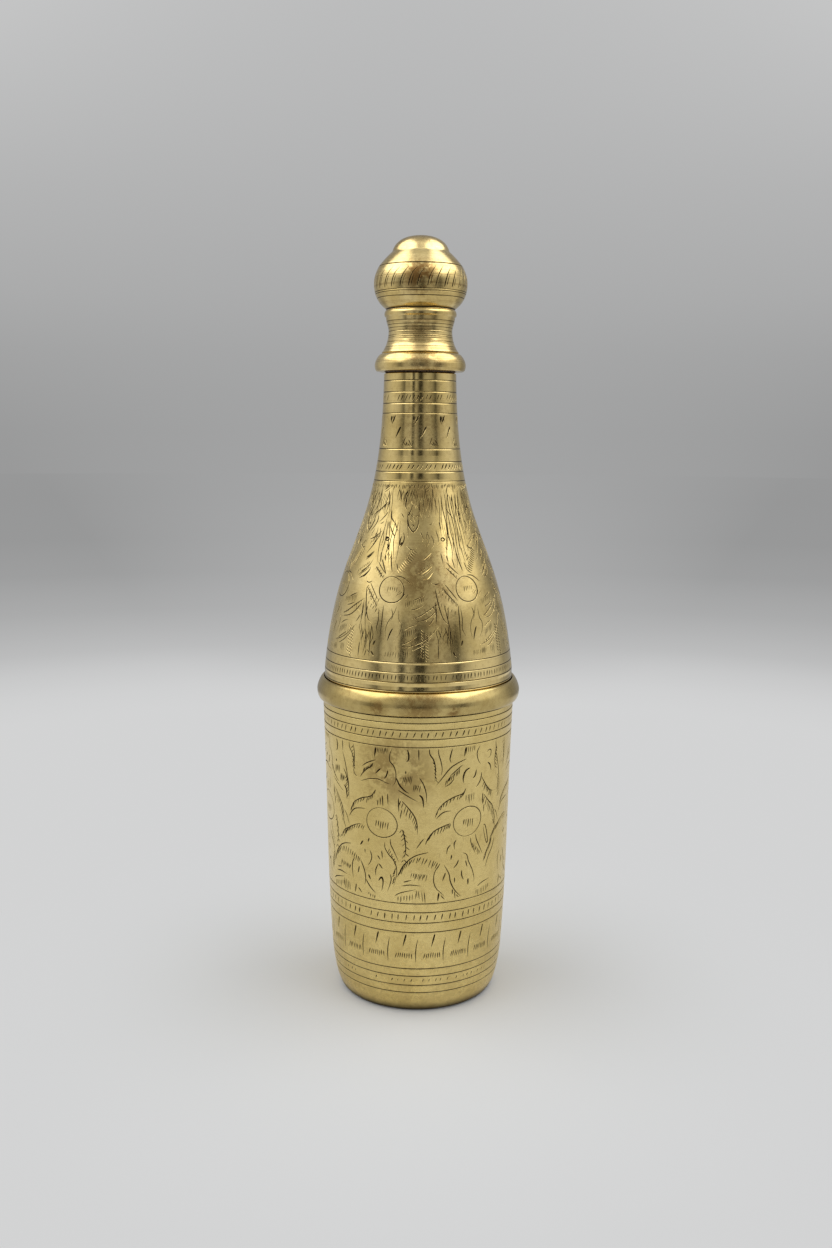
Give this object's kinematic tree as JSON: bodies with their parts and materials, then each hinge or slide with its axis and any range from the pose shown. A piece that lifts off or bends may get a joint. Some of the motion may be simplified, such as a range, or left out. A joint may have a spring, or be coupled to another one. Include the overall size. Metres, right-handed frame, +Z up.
{
  "type": "bottle",
  "caption": "Tall engraved brass bottle with a bead at the waist and a turned screw stopper; it parts at the waist over a nest of cups.",
  "frame": {"origin": "middle of the foot ring, on the surface that the bottle stands on", "axes": "+Z up along the axis that every piece is turned about"},
  "size_m": [0.0786, 0.0786, 0.29],
  "materials": {
    "satin_brass": "satin, hand engraved",
    "polished_brass": "polished, hand engraved",
    "bead_brass": "turned, half polished",
    "knob_brass": "turned and polished, with a cut band",
    "thread_brass": "turned, unpolished",
    "cup_brass": "polished",
    "seal_leather": "worn"
  },
  "bodies": {
    "lower_half": {"lower_body": "satin_brass", "lower_collar": "thread_brass"},
    "upper_half": {"waist_ring": "bead_brass", "shoulder_shell": "polished_brass", "neck_bush": "thread_brass"},
    "seal": {"stopper_seal": "seal_leather"},
    "stopper": {"stopper_knob": "knob_brass", "stopper_plug": "thread_brass"},
    "cup_1": {"cup_1": "cup_brass"},
    "cup_2": {"cup_2": "cup_brass"},
    "cup_3": {"cup_3": "cup_brass"},
    "cup_4": {"cup_4": "cup_brass"}
  },
  "joints": [
    {"name": "waist_lift", "type": "slide", "parent": "lower_half", "child": "upper_half", "axis": [0, 0, 1], "range_m": [0, 0.09]},
    {"name": "stopper_lift", "type": "slide", "parent": "upper_half", "child": "seal", "axis": [0, 0, 1], "range_m": [0, 0.00905]},
    {"name": "stopper_turn", "type": "hinge", "parent": "seal", "child": "stopper", "pos_m": [0, 0, 0.2407], "axis": [0, 0, 1], "range_deg": [0, 1800]},
    {"name": "cup_1_lift", "type": "slide", "parent": "lower_half", "child": "cup_1", "axis": [0, 0, 1], "range_m": [0, 0.015]},
    {"name": "cup_2_lift", "type": "slide", "parent": "cup_1", "child": "cup_2", "axis": [0, 0, 1], "range_m": [0, 0.013]},
    {"name": "cup_3_lift", "type": "slide", "parent": "cup_2", "child": "cup_3", "axis": [0, 0, 1], "range_m": [0, 0.009]},
    {"name": "cup_4_lift", "type": "slide", "parent": "cup_3", "child": "cup_4", "axis": [0, 0, 1], "range_m": [0, 0.006]}
  ],
  "couplings": [
    {"joint": "stopper_lift", "follows": "stopper_turn", "m_per_rad": 0.00028648}
  ]
}
